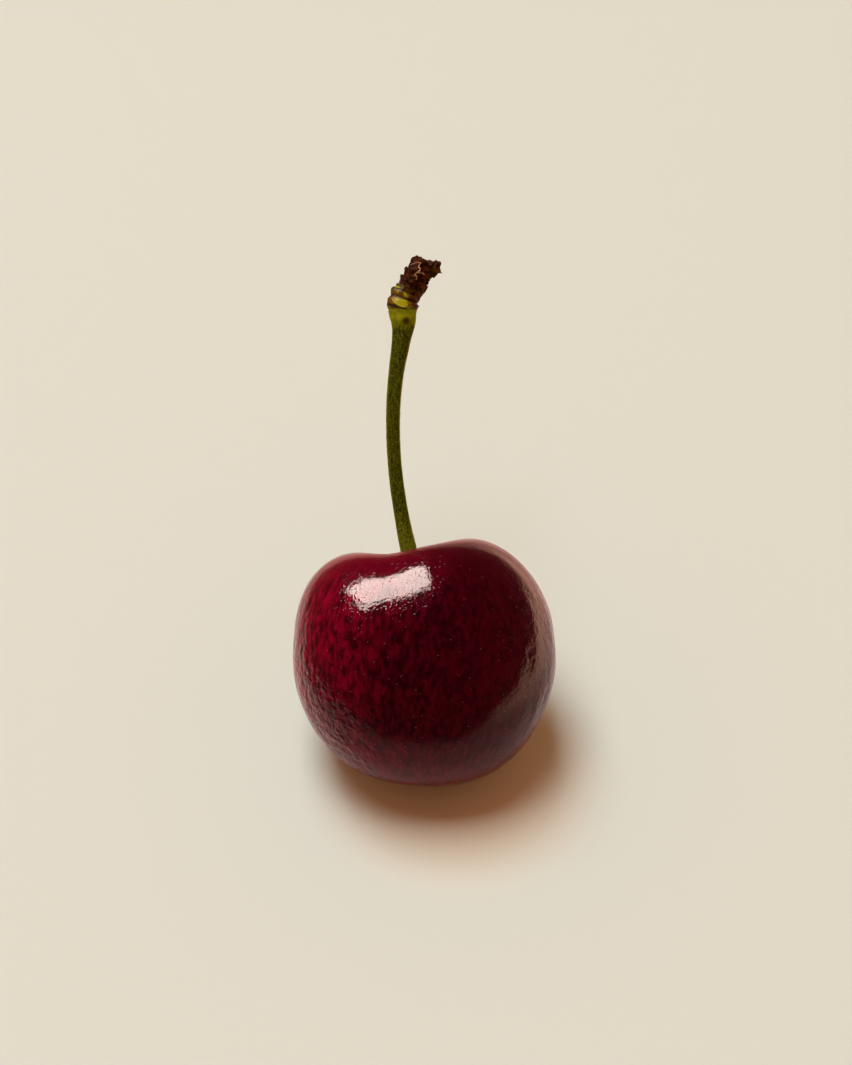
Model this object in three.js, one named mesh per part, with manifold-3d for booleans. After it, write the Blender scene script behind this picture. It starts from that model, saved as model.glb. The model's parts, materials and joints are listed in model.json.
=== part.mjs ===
// A sweet cherry lying on its flank, with its stem and the torn end of the spur it grew on.
// Millimetres, +Z up, origin in the middle of the small flat spot that the fruit rests on.
import * as THREE from "three";
import Module from "manifold-3d";

const wasm = await Module();
wasm.setup();

// ---- how the cherry lies ----
const LEAN = THREE.MathUtils.degToRad(45); // the stem end leans back from upright
const REST_HEIGHT = 13.2; // fruit centre above the surface
const REST_AHEAD = 0.4; // fruit centre behind the middle of the resting spot

const GAP = 0.08; // left between pieces that touch

// ---- fruit: x across the cheeks, y through from the seam side to the back, z towards the stem ----
const HALF_WIDTH = 13.9;
const HALF_THICKNESS = 12.7;
const HALF_HEIGHT = 14.0; // to the top of the round, before the stem cavity is sunk into it
const SQUARENESS = 2.15; // 2 is a plain ellipsoid, more is boxier
const SHOULDER_WIDENING = 0.045; // share by which the stem end is wider than the other
const LEFT_SHOULDER = { rise: 0.45, across: -0.788, up: 0.616, spread: 0.08 };
const LOWER_LEFT_HOLLOW = { rise: -0.25, across: -0.375, up: -0.927, spread: 0.05 };
const RESTING_FULLNESS = { rise: 0.45, back: 0.839, up: -0.545, spread: 0.06 };
const CAVITY_DEPTH = 3.56;
const CAVITY_TILT = 0.144; // the cavity opens a little to the left, radians
const CAVITY_WIDTH = 0.399; // radians
const SEAM_DIP_FRONT = 0.58; // the seam notches the rim of the cavity, front and back
const SEAM_DIP_BACK = 1.18;
const SEAM_DIP_WIDTH = 0.19;
const SEAM_DIP_LENGTH = 0.495; // radians
const SEAM_DIP_AT = 0.63; // radians from the stem axis
const SEAM_DIP_SHARE_IN_CAVITY = 0.56; // how much of the dips is left where they meet over the stem
const SEAM_DIP_BLEND = 0.15; // over which the front dip turns into the back one, share of the radius
const SEAM_TWIST = 0.32;
const FLANK_RIPPLE = 0.1; // slight waviness of the half away from the stem
const RIPPLE_FROM = 1.31; // radians from the stem axis where the waviness starts
const RIPPLE_ONSET = 0.35; // radians over which it grows
const RIPPLE_WAVES = 6; // in a full turn
const FRUIT_RINGS = 46;
const FRUIT_SIDES = 60;
const FIRST_RING = 0.65; // place of the ring round the cavity's floor, in ring spacings
const RING_CROWDING = 0.38; // how much closer the rings are at the cavity

// ---- stem: centre line in the fruit's x, y, z, and the diameter there ----
const STEM_STATIONS = [
  { x: -1.3, y: 0.0, z: 9.0, d: 2.3 },
  { x: -1.36, y: 0.0, z: 9.6, d: 2.6 },
  { x: -1.44, y: 0.0, z: 10.2, d: 2.2 },
  { x: -1.58, y: 0.0, z: 11.4, d: 1.84 },
  { x: -2.06, y: -0.05, z: 13.65, d: 1.66 },
  { x: -2.53, y: -0.15, z: 16.2, d: 1.53 },
  { x: -2.92, y: -0.25, z: 18.8, d: 1.5 },
  { x: -3.18, y: -0.35, z: 21.3, d: 1.46 },
  { x: -3.33, y: -0.42, z: 23.9, d: 1.47 },
  { x: -3.34, y: -0.45, z: 26.45, d: 1.51 },
  { x: -3.21, y: -0.42, z: 29.0, d: 1.58 },
  { x: -2.92, y: -0.33, z: 31.6, d: 1.72 },
  { x: -2.69, y: -0.25, z: 33.0, d: 1.88 },
  { x: -2.5, y: -0.18, z: 34.3, d: 2.04 },
  { x: -2.33, y: -0.1, z: 35.4, d: 2.34 },
  { x: -2.28, y: -0.05, z: 36.3, d: 2.68 },
  { x: -2.33, y: -0.02, z: 37.0, d: 2.92 },
  { x: -2.34, y: 0.0, z: 37.4, d: 3.08 },
  { x: -2.34, y: 0.0, z: 37.52, d: 3.02 },
];
const STEM_SIDES = 18;
const STEM_STEPS_PER_STATION = 2;

// ---- end of the spur: a stub that bends over, ringed below and wrapped in dried scales above ----
const STUB_LINE = [
  [-2.35, 0.0, 37.5],
  [-2.3, 0.0, 38.3],
  [-1.98, 0.0, 39.2],
  [-1.35, 0.0, 40.3],
  [-0.82, 0.05, 41.35],
  [-0.3, 0.1, 42.4],
];
const STUB_PROFILE = [
  // share of the way up, radius
  [0.0, 1.4],
  [0.03, 1.58],
  [0.1, 1.72],
  [0.16, 1.74],
  [0.2, 1.56],
  [0.22, 1.42],
  [0.25, 1.54],
  [0.31, 1.66],
  [0.35, 1.58],
  [0.375, 1.34],
  [0.4, 1.4],
  [0.43, 1.42],
  [0.455, 1.15],
  [0.49, 0.9],
  [0.7, 0.84],
  [0.88, 0.8],
  [0.96, 0.66],
];
const STUB_SIDES = 24;
const STUB_UNEVENNESS = 0.05;

// Each scale wraps part of the stub. Shares run up the stub's line, angles go round it:
// 0 points right, 90 to the back, 180 left, 270 to the front.
// foot and tip are shares of the stub's line, middle and span are in degrees.
const SCALES = [
  scaleShape("bud_scale_1", [330, 170], [0.3, 0.65], 1.3, 0.24, 0.45, 1),
  scaleShape("bud_scale_2", [175, 150], [0.41, 0.63], 1.02, 0.34, 0.25, 2),
  scaleShape("bud_scale_3", [70, 150], [0.41, 0.9], 1.05, 0.36, 0.4, 3),
  scaleShape("bud_scale_4", [200, 170], [0.56, 0.79], 0.94, 0.38, 0.25, 4),
  scaleShape("bud_scale_5", [300, 120], [0.56, 0.86], 0.96, 0.26, 0.35, 5),
  scaleShape("bud_scale_6", [255, 230], [0.7, 1.1], 0.9, 0.2, 0.62, 6),
];
const SCALE_THICKNESS = 0.28;
const SCALE_COLUMNS = 12;
const SCALE_ROWS = 6;
const SCALE_SIDE_INSET = 0.04; // share of the span left off at each side, where a scale would end in a point
const SCALE_TIP_ROUNDNESS = 0.8;
const SCALE_TEAR = 0.018; // unevenness of the torn tip, as a share of the stub's line
const SCALE_CRUMPLE = 0.06;

// A torn piece of bark that sticks out to the right at the very end.
const FLAP = {
  root: [-0.8, 0.1, 41.4],
  reach: [2.45, 0.7],
  rootWidth: 3.2,
  tipWidth: 1.3,
  thickness: 0.24,
  rootThickening: 0.2,
  raggedness: 0.06,
  wave: 0.12,
  curl: 0.1,
};
const FLAP_COLUMNS = 8;
const FLAP_SIDES = 12;

const colours = {
  fruit: 0x4a0510,
  stem: 0x3f4a12,
  stub: 0x8a7a1c,
  scale: 0x3a1a0c,
};

function scaleShape(name, [middle, span], [foot, tip], inner, flare, point, seed) {
  return { name, middle, span, foot, tip, inner, flare, point, seed };
}

function material(colour, roughness) {
  return new THREE.MeshStandardMaterial({ color: colour, roughness, metalness: 0 });
}

function meshOf(name, geometry, colour, roughness) {
  const mesh = new THREE.Mesh(geometry, material(colour, roughness));
  mesh.name = name;
  return mesh;
}

function clamp01(value) {
  return Math.min(1, Math.max(0, value));
}

function smoothstep(value) {
  const t = clamp01(value);
  return t * t * (3 - 2 * t);
}

// ---- closed surfaces ----

// Rings of points, each with the same number of sides, skinned and closed by a fan at each end.
function skinRings(rings) {
  const sides = rings[0].length;
  const positions = [];
  const faces = [];
  for (const ring of rings) {
    for (const point of ring) {
      positions.push(point.x, point.y, point.z);
    }
  }
  for (let i = 0; i + 1 < rings.length; i += 1) {
    for (let j = 0; j < sides; j += 1) {
      const a = i * sides + j;
      const b = i * sides + ((j + 1) % sides);
      faces.push(a, b, b + sides, a, b + sides, a + sides);
    }
  }
  closeEnd(positions, faces, rings[0], 0, true);
  closeEnd(positions, faces, rings[rings.length - 1], (rings.length - 1) * sides, false);
  return indexed(positions, faces);
}

function closeEnd(positions, faces, ring, first, facesBack) {
  const middle = new THREE.Vector3();
  for (const point of ring) {
    middle.add(point);
  }
  middle.divideScalar(ring.length);
  const centre = positions.length / 3;
  positions.push(middle.x, middle.y, middle.z);
  for (let j = 0; j < ring.length; j += 1) {
    const a = first + j;
    const b = first + ((j + 1) % ring.length);
    if (facesBack) {
      faces.push(centre, b, a);
    } else {
      faces.push(centre, a, b);
    }
  }
}

function indexed(positions, faces) {
  const geometry = new THREE.BufferGeometry();
  geometry.setAttribute("position", new THREE.Float32BufferAttribute(positions, 3));
  geometry.setIndex(faces);
  geometry.computeVertexNormals();
  return geometry;
}

function toManifold(geometry) {
  const vertProperties = new Float32Array(geometry.getAttribute("position").array);
  const triVerts = new Uint32Array(geometry.getIndex().array);
  return new wasm.Manifold(new wasm.Mesh({ numProp: 3, vertProperties, triVerts }));
}

function solidOf(rings) {
  return toManifold(skinRings(rings));
}

function fromManifold(solid) {
  const mesh = solid.getMesh();
  return indexed(Array.from(mesh.vertProperties), Array.from(mesh.triVerts));
}

// Cuts the solid back from its neighbours and keeps the largest body that is left.
function cutClear(solid, neighbours) {
  let left = solid;
  for (const neighbour of neighbours) {
    left = left.subtract(neighbour);
  }
  return left.decompose().reduce((best, body) => (body.volume() > best.volume() ? body : best));
}

// ---- fruit ----

function bump(direction, towards, shape) {
  return shape.rise * Math.exp((direction.dot(towards) - 1) / shape.spread);
}

const leftShoulder = new THREE.Vector3(LEFT_SHOULDER.across, 0, LEFT_SHOULDER.up).normalize();
const lowerLeft = new THREE.Vector3(LOWER_LEFT_HOLLOW.across, 0, LOWER_LEFT_HOLLOW.up).normalize();
const restingSide = new THREE.Vector3(0, RESTING_FULLNESS.back, RESTING_FULLNESS.up).normalize();
const cavityAxis = new THREE.Vector3(-Math.sin(CAVITY_TILT), 0, Math.cos(CAVITY_TILT));

// How far the skin lies from the fruit's centre in a direction of length 1.
function skinDistance(u) {
  const boxiness =
    Math.abs(u.x / HALF_WIDTH) ** SQUARENESS +
    Math.abs(u.y / HALF_THICKNESS) ** SQUARENESS +
    Math.abs(u.z / HALF_HEIGHT) ** SQUARENESS;
  let distance = boxiness ** (-1 / SQUARENESS) * (1 + SHOULDER_WIDENING * u.z);
  distance += bump(u, leftShoulder, LEFT_SHOULDER);
  distance += bump(u, lowerLeft, LOWER_LEFT_HOLLOW);
  distance += bump(u, restingSide, RESTING_FULLNESS);
  const fromCavity = u.angleTo(cavityAxis);
  distance -= CAVITY_DEPTH * Math.exp(-((fromCavity / CAVITY_WIDTH) ** 2));
  const fromStem = Math.acos(Math.min(1, Math.max(-1, u.z)));
  distance -= seamDip(u, fromStem);
  const ripple = smoothstep((fromStem - RIPPLE_FROM) / RIPPLE_ONSET);
  return distance - FLANK_RIPPLE * ripple * Math.cos(RIPPLE_WAVES * fromStem);
}

function seamDip(u, fromStem) {
  const across = (u.x + SEAM_TWIST * u.z) / SEAM_DIP_WIDTH;
  const along = (fromStem - SEAM_DIP_AT) / SEAM_DIP_LENGTH;
  const turn = smoothstep((u.y / SEAM_DIP_BLEND + 1) / 2);
  const depth = SEAM_DIP_FRONT + (SEAM_DIP_BACK - SEAM_DIP_FRONT) * turn;
  const fade = (u.y * u.y + SEAM_DIP_SHARE_IN_CAVITY ** 8) ** 0.125;
  return depth * fade * Math.exp(-across * across - along * along);
}

// Rings are closer together round the stem cavity, and centred on it.
function ringAngle(share) {
  return Math.PI * ((1 - RING_CROWDING) * share + RING_CROWDING * share * share);
}

function fruitRing(angle) {
  const ring = [];
  const tilt = CAVITY_TILT * (1 - angle / Math.PI);
  for (let j = 0; j < FRUIT_SIDES; j += 1) {
    const around = (2 * Math.PI * j) / FRUIT_SIDES;
    const u = new THREE.Vector3(
      Math.sin(angle) * Math.cos(around),
      Math.sin(angle) * Math.sin(around),
      Math.cos(angle),
    );
    u.applyAxisAngle(new THREE.Vector3(0, 1, 0), -tilt);
    ring.push(u.clone().multiplyScalar(skinDistance(u)));
  }
  return ring;
}

function fruitGeometry() {
  const rings = [];
  for (let i = FRUIT_RINGS; i >= 1; i -= 1) {
    rings.push(fruitRing(ringAngle((i - 1 + FIRST_RING) / FRUIT_RINGS)));
  }
  const round = solidOf(rings);
  const socket = solidOf(stemRings(GAP));
  const up = [0, -Math.sin(LEAN), Math.cos(LEAN)]; // square to the resting surface
  const flattened = round.trimByPlane(up, -REST_HEIGHT);
  return fromManifold(flattened.subtract(socket));
}

// ---- stem ----

function lineThrough(points) {
  return new THREE.CatmullRomCurve3(points, false, "catmullrom", 0.5);
}

// A ring of points square to a line, with the same side always to the right.
function ringSquareTo(centre, along, radiusAt, sides) {
  const right = new THREE.Vector3(1, 0, 0).addScaledVector(along, -along.x).normalize();
  const back = new THREE.Vector3().crossVectors(along, right);
  const ring = [];
  for (let j = 0; j < sides; j += 1) {
    const around = (2 * Math.PI * j) / sides;
    const radius = radiusAt(around);
    ring.push(
      centre
        .clone()
        .addScaledVector(right, radius * Math.cos(around))
        .addScaledVector(back, radius * Math.sin(around)),
    );
  }
  return ring;
}

function stemRings(extra) {
  const line = lineThrough(STEM_STATIONS.map((s) => new THREE.Vector3(s.x, s.y, s.z)));
  const last = STEM_STATIONS.length - 1;
  const steps = last * STEM_STEPS_PER_STATION;
  const rings = [];
  for (let i = 0; i <= steps; i += 1) {
    const station = (i / steps) * last;
    const lower = STEM_STATIONS[Math.min(last - 1, Math.floor(station))];
    const upper = STEM_STATIONS[Math.min(last, Math.floor(station) + 1)];
    const part = station - Math.min(last - 1, Math.floor(station));
    const radius = (lower.d + (upper.d - lower.d) * smoothstep(part)) / 2 + extra;
    const centre = line.getPoint(i / steps);
    const along = line.getTangent(i / steps);
    if (i === 0) {
      centre.addScaledVector(along, -extra);
    }
    if (i === steps) {
      centre.addScaledVector(along, extra);
    }
    rings.push(ringSquareTo(centre, along, () => radius, STEM_SIDES));
  }
  return rings;
}

// ---- end of the spur ----

const stubLine = lineThrough(STUB_LINE.map(([x, y, z]) => new THREE.Vector3(x, y, z)));

// Past its end the line goes on straight, so a scale can reach beyond the stub.
function stubPoint(share) {
  const at = Math.min(1, share);
  const beyond = (share - at) * stubLine.getLength();
  return stubLine.getPointAt(at).addScaledVector(stubLine.getTangentAt(at), beyond);
}

function stubDirection(share) {
  return stubLine.getTangentAt(Math.min(1, share));
}

function stubRings(extra) {
  return STUB_PROFILE.map(([share, radius], index) => {
    const lobe = STUB_UNEVENNESS * Math.sin(3 * index);
    const lobed = (around) => radius * (1 + lobe * Math.sin(3 * around + index)) + extra;
    return ringSquareTo(stubPoint(share), stubDirection(share), lobed, STUB_SIDES);
  });
}

// A cheap repeatable unevenness between -1 and 1.
function uneven(seed, along) {
  return 0.6 * Math.sin(5.1 * along + 2.3 * seed) + 0.4 * Math.sin(11.7 * along + 4.9 * seed);
}

function scalePoint(scale, across, up, outwards) {
  const edge = 1 - (2 * across - 1) ** 2;
  const tip = scale.tip - (1 - edge ** SCALE_TIP_ROUNDNESS) * scale.point * (scale.tip - scale.foot);
  const torn = SCALE_TEAR * uneven(scale.seed, 6 * across);
  const share = scale.foot + (tip + torn - scale.foot) * up;
  const around = THREE.MathUtils.degToRad(scale.middle + scale.span * (across - 0.5));
  const crumple = SCALE_CRUMPLE * uneven(scale.seed + 3, 5 * across + 3 * up) * up;
  const radius = scale.inner + scale.flare * up * up + crumple + outwards;
  const along = stubDirection(share);
  const ring = ringSquareTo(stubPoint(share), along, () => 1, 1);
  const right = ring[0].sub(stubPoint(share));
  const back = new THREE.Vector3().crossVectors(along, right);
  return stubPoint(share)
    .addScaledVector(right, radius * Math.cos(around))
    .addScaledVector(back, radius * Math.sin(around));
}

// Each ring goes up the outside of the scale and down its inside.
function scaleRings(scale, extra) {
  const rings = [];
  for (let i = SCALE_COLUMNS; i >= 0; i -= 1) {
    const across = SCALE_SIDE_INSET + ((1 - 2 * SCALE_SIDE_INSET) * i) / SCALE_COLUMNS;
    const ring = [];
    for (let j = 0; j <= SCALE_ROWS; j += 1) {
      ring.push(scalePoint(scale, across, j / SCALE_ROWS, SCALE_THICKNESS + extra));
    }
    for (let j = SCALE_ROWS; j >= 0; j -= 1) {
      ring.push(scalePoint(scale, across, j / SCALE_ROWS, -extra));
    }
    rings.push(ring);
  }
  return rings;
}

function flapRing(share) {
  const [x, y, z] = FLAP.root;
  const taper = FLAP.rootWidth + (FLAP.tipWidth - FLAP.rootWidth) * share;
  const width = taper * (1 + FLAP.raggedness * uneven(8, 5 * share));
  const lift = FLAP.curl * uneven(9, 4 * share);
  const thickness = FLAP.thickness + FLAP.rootThickening * (1 - share);
  const ring = [];
  for (let j = 0; j < FLAP_SIDES; j += 1) {
    const around = (2 * Math.PI * j) / FLAP_SIDES;
    ring.push(
      new THREE.Vector3(
        x + FLAP.reach[0] * share + FLAP.curl * Math.sin(2 * around + 3 * share),
        y + thickness * Math.cos(around) + FLAP.wave * Math.sin(3 * around + 4 * share),
        z + FLAP.reach[1] * share + lift + (width / 2) * Math.sin(around),
      ),
    );
  }
  return ring;
}

function flapRings() {
  const rings = [];
  for (let i = 0; i <= FLAP_COLUMNS; i += 1) {
    rings.push(flapRing(i / FLAP_COLUMNS));
  }
  return rings;
}

// ---- the whole cherry ----

const cherry = new THREE.Group();
cherry.name = "leaning_cherry";
cherry.rotation.x = -LEAN;
cherry.position.set(0, REST_AHEAD, REST_HEIGHT);
cherry.add(meshOf("fruit", fruitGeometry(), colours.fruit, 0.25));
cherry.add(meshOf("stem", skinRings(stemRings(0)), colours.stem, 0.55));
const stub = cutClear(solidOf(stubRings(0)), [solidOf(stemRings(GAP))]);
cherry.add(meshOf("spur_stub", fromManifold(stub), colours.stub, 0.6));
const placed = [solidOf(stubRings(GAP)), solidOf(stemRings(GAP))];
for (const scale of SCALES) {
  const body = cutClear(solidOf(scaleRings(scale, 0)), placed);
  cherry.add(meshOf(scale.name, fromManifold(body), colours.scale, 0.8));
  placed.push(solidOf(scaleRings(scale, GAP)));
}
const flap = cutClear(solidOf(flapRings()), placed);
cherry.add(meshOf("torn_flap", fromManifold(flap), colours.scale, 0.8));

const group = new THREE.Group();
group.name = "cherry";
group.add(cherry);

export default group;
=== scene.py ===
"""Looks for a ripe dark cherry: its skin, stem and torn spur end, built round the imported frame."""

import json
import math

import bpy
import numpy as np
from mathutils import Matrix, Vector, noise
from mathutils.bvhtree import BVHTree

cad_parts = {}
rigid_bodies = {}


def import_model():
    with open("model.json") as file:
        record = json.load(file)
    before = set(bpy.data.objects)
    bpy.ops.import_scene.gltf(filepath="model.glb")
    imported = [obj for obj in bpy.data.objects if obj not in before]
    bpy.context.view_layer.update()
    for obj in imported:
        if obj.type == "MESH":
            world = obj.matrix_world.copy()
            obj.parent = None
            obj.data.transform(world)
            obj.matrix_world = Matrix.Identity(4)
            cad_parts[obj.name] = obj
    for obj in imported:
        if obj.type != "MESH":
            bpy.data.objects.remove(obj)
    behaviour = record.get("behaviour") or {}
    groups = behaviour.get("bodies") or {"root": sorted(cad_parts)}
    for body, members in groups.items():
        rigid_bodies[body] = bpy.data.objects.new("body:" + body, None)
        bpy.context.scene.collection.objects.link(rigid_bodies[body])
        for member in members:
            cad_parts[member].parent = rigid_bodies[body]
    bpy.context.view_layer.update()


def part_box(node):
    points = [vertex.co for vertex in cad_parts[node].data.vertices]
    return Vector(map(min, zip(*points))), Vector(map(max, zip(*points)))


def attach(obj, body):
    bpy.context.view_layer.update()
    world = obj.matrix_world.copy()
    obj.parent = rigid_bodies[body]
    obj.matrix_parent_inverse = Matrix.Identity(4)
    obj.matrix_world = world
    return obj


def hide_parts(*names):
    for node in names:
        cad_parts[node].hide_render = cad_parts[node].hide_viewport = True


bl_info = {
    "name": "Dark Sweet Cherry",
    "version": (1, 0, 0),
    "blender": (4, 5, 0),
    "location": "View3D > Sidebar > Cherry",
    "description": "Builds the skin, stem and torn spur end of a ripe cherry round its packed frame",
    "category": "Add Mesh",
}

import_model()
BODY = "root"

# ---- the fruit's own frame: x across the cheeks, y seam side to back, z towards the stem ----
FRUIT_LOW, FRUIT_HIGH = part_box("fruit")
LEAN = math.radians(45)
MM = (FRUIT_HIGH.x - FRUIT_LOW.x) / 28.014  # a millimetre at the size the fruit was modelled
FRUIT_CENTRE = FRUIT_LOW + Vector((14.028, 13.261, 13.2)) * MM
TO_ROW = Matrix.Translation(FRUIT_CENTRE) @ Matrix.Rotation(-LEAN, 4, "X") @ Matrix.Scale(MM, 4)

# ---- fruit, in millimetres and radians ----
HALF_SIZES = np.array([13.9, 12.7, 14.0])
SQUARENESS = 2.15
SHOULDER_WIDENING = 0.045
FULLNESSES = (
    # rise, direction, spread
    (0.45, (-0.788, 0.0, 0.616), 0.08),  # left shoulder
    (-0.25, (-0.375, 0.0, -0.927), 0.05),  # lower left hollow
    (0.45, (0.0, 0.839, -0.545), 0.06),  # flank it rests on
)
CAVITY_DEPTH = 3.56
CAVITY_TILT = 0.144
CAVITY_WIDTH = 0.399
SEAM_DIP_FRONT = 0.58
SEAM_DIP_BACK = 1.18
SEAM_DIP_WIDTH = 0.19
SEAM_DIP_LENGTH = 0.495
SEAM_DIP_AT = 0.63
SEAM_DIP_SHARE_IN_CAVITY = 0.56
SEAM_DIP_BLEND = 0.15
SEAM_TWIST = 0.32
FLANK_RIPPLE = 0.1
RIPPLE_FROM = 1.31  # angle from the stem where the ripple begins
RIPPLE_BLEND = 0.35
RIPPLE_COUNT = 6
LUMPS = ((0.05, 2.2, 1), (0.02, 6.0, 2))  # height, fineness and seed of each layer of lumps
PLEAT_DEPTH = 0.07
PLEATS_AROUND = 9
PLEATS_ALONG = 4
PLEATS_FROM = 0.62  # share of the half-width where the flank's pleats begin
PLEATS_BLEND = 0.3
PLEATS_SHIFT = 0.05
SCAR_TOWARDS = (0.03, -0.05, -1.0)  # where the flower's style fell off
SCAR_DEPTH = 0.25
SCAR_REACH = 0.05
RING_CROWDING = 0.38  # how much closer the rings are at the cavity
FRUIT_RINGS = 240
FRUIT_SIDES = 400

# ---- stem: x, y, z and diameter ----
STEM_STATIONS = (
    (-1.3, 0.0, 9.0, 2.3),
    (-1.36, 0.0, 9.6, 2.6),
    (-1.44, 0.0, 10.2, 2.2),
    (-1.58, 0.0, 11.4, 1.84),
    (-2.06, -0.05, 13.65, 1.66),
    (-2.53, -0.15, 16.2, 1.53),
    (-2.92, -0.25, 18.8, 1.5),
    (-3.18, -0.35, 21.3, 1.46),
    (-3.33, -0.42, 23.9, 1.47),
    (-3.34, -0.45, 26.45, 1.51),
    (-3.21, -0.42, 29.0, 1.58),
    (-2.92, -0.33, 31.6, 1.72),
    (-2.69, -0.25, 33.0, 1.88),
    (-2.5, -0.18, 34.3, 2.04),
    (-2.33, -0.1, 35.4, 2.34),
    (-2.28, -0.05, 36.3, 2.68),
    (-2.33, -0.02, 37.0, 2.92),
    (-2.34, 0.0, 37.4, 3.08),
    (-2.34, 0.0, 37.52, 3.02),
)
STEM_SIDES = 44
STEM_RIBS = (
    # height, number round the stem, twist, start
    (0.018, 5, 0.3, 0.0),
    (0.012, 8, -0.2, 1.0),
)
COLLAR_SPOT = (-1.97, -1.2, 36.27)
COLLAR_SPOT_DEPTH = 0.09
COLLAR_SPOT_REACH = 0.35

# ---- spur end ----
STUB_LINE = (
    (-2.35, 0.0, 37.5),
    (-2.3, 0.0, 38.3),
    (-1.98, 0.0, 39.2),
    (-1.35, 0.0, 40.3),
    (-0.82, 0.05, 41.35),
    (-0.3, 0.1, 42.4),
)
STUB_PROFILE = (
    # share of the way up, radius
    (0.0, 1.4),
    (0.03, 1.58),
    (0.1, 1.72),
    (0.16, 1.74),
    (0.2, 1.56),
    (0.22, 1.42),
    (0.25, 1.54),
    (0.31, 1.66),
    (0.35, 1.58),
    (0.375, 1.34),
    (0.4, 1.4),
    (0.43, 1.42),
    (0.455, 1.15),
    (0.49, 0.9),
    (0.7, 0.84),
    (0.88, 0.8),
    (0.96, 0.66),
)
STUB_SIDES = 72
STUB_LOBES = (
    # height as a share of the radius, number round the stub, twist
    (0.03, 3, 14),
    (0.015, 7, -30),
)
SCALES = (
    # name, middle and span in degrees, foot and tip shares, inner radius, flare, point, seed
    ("bud_scale_1", 330, 170, 0.3, 0.65, 1.3, 0.24, 0.45, 1),
    ("bud_scale_2", 175, 150, 0.41, 0.63, 1.02, 0.34, 0.25, 2),
    ("bud_scale_3", 70, 150, 0.41, 0.9, 1.05, 0.36, 0.4, 3),
    ("bud_scale_4", 200, 170, 0.56, 0.79, 0.94, 0.38, 0.25, 4),
    ("bud_scale_5", 300, 120, 0.56, 0.86, 0.96, 0.26, 0.35, 5),
    ("bud_scale_6", 255, 230, 0.7, 1.1, 0.9, 0.2, 0.62, 6),
)
SCALE_SIDE_INSET = 0.04  # share of the span left off at each side
SCALE_TIP_ROUNDNESS = 0.8
SCALE_TEAR = 0.018  # unevenness of the torn tip, as a share of the stub's line
SCALE_FINE_TEAR = 0.012
SCALE_COLUMNS = 44
SCALE_ROWS = 22
SCALE_THICKNESS = 0.28
SCALE_THINNING = 0.45  # share of the thickness lost by the tip
SCALE_CRUMPLE = 0.06
SCALE_SHARP_EDGE = math.radians(50)
FLAP_ROOT = (-0.8, 0.1, 41.4)
FLAP_REACH = (2.45, 0.7)
FLAP_ROOT_WIDTH = 3.2
FLAP_TIP_WIDTH = 1.3
FLAP_THICKNESS = 0.24
FLAP_ROOT_THICKENING = 0.2
FLAP_RAGGEDNESS = 0.06
FLAP_LIFT = 0.1
FLAP_COLUMNS = 40
FLAP_SIDES = 36
FLAP_WAVE = 0.12
FLAP_ROUGHNESS = 0.09

# ---- heights of the fine relief in the materials ----
PEEL_HEIGHT = 0.021 * MM
FINE_PEEL_HEIGHT = 0.018 * MM
PIMPLE_HEIGHT = 0.0085 * MM
WRINKLE_HEIGHT = 0.22 * MM
DIMPLE_HEIGHT = 0.2 * MM
STEM_LINE_HEIGHT = 0.03 * MM
STEM_SPECK_HEIGHT = 0.03 * MM
PORE_HEIGHT = 0.05 * MM
CREASE_HEIGHT = 0.15 * MM
CREST_HEIGHT = 0.12 * MM
FIBRE_GRAIN_HEIGHT = 0.04 * MM

# ---- torn fibres ----
FIBRES = (
    # x and z of points on each pale torn fibre, and its half-thickness
    (((-0.34, 42.52), (-0.63, 42.08), (-0.41, 41.79), (-0.73, 41.45), (-1.07, 41.2)), 0.085),
    (((-1.07, 41.2), (-0.84, 40.96), (-0.92, 40.62)), 0.075),
    (((-0.73, 41.4), (-0.29, 41.4), (0.05, 41.16)), 0.075),
    (((-1.5, 42.27), (-0.92, 42.47), (-0.39, 42.5)), 0.05),
)
FIBRE_SIDES = 12
FIBRE_STEPS = 10
FIBRE_SINK = 0.02
AHEAD = -5  # y from which the fibres are laid on the bark
WISP = ((1.55, 0.2, 41.85), (1.75, 0.1, 41.7), (1.78, 0.05, 41.5), (1.98, 0.0, 41.45))
WISP_HALF_THICKNESS = 0.035

# ---- marks on the stub ----
# The bark is painted dark along each groove, as painted shade.
GROOVES = (0.1, 1.18, 1.95, 2.42)  # how far each groove is up the stub
RUST_SPOTS = (
    # middle of each rusty spot, and its reach
    ((-3.75, -1.2, 38.6), 0.9),
    ((-3.3, -1.3, 39.3), 0.75),
    ((-2.55, -1.5, 39.0), 0.45),
)
CREASE_CENTRE = (-2.1, -1.3, 39.1)
CREASE_RADIUS = 1.4
CREASE_MIDDLE = (-2.95, -1.4, 38.05)

# ---- stage, in metres ----
SENSOR_SIZE = 36  # millimetres
AIM_ABOVE = 13.8 * MM  # where the camera looks, from the fruit's middle
AIM_RIGHT = 0.16 * MM
FLOOR_HALF = 3.0
SOFTBOXES = (
    # name, direction from the fruit, turn, half-size and distance, radiance, colour, shines
    ("softbox", (-0.21, 0.08, 1), 0.08, (0.2, 0.35), 1.3, 9.45, (0.828, 0.975, 0.998), False),
    ("softbox_shine", (-0.563, 0.445, 1), 0.131, (0.365, 0.28), 0.6, 54, (1, 0.785, 0.73), True),
)


# ---------------------------------------------------------------- settings


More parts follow.
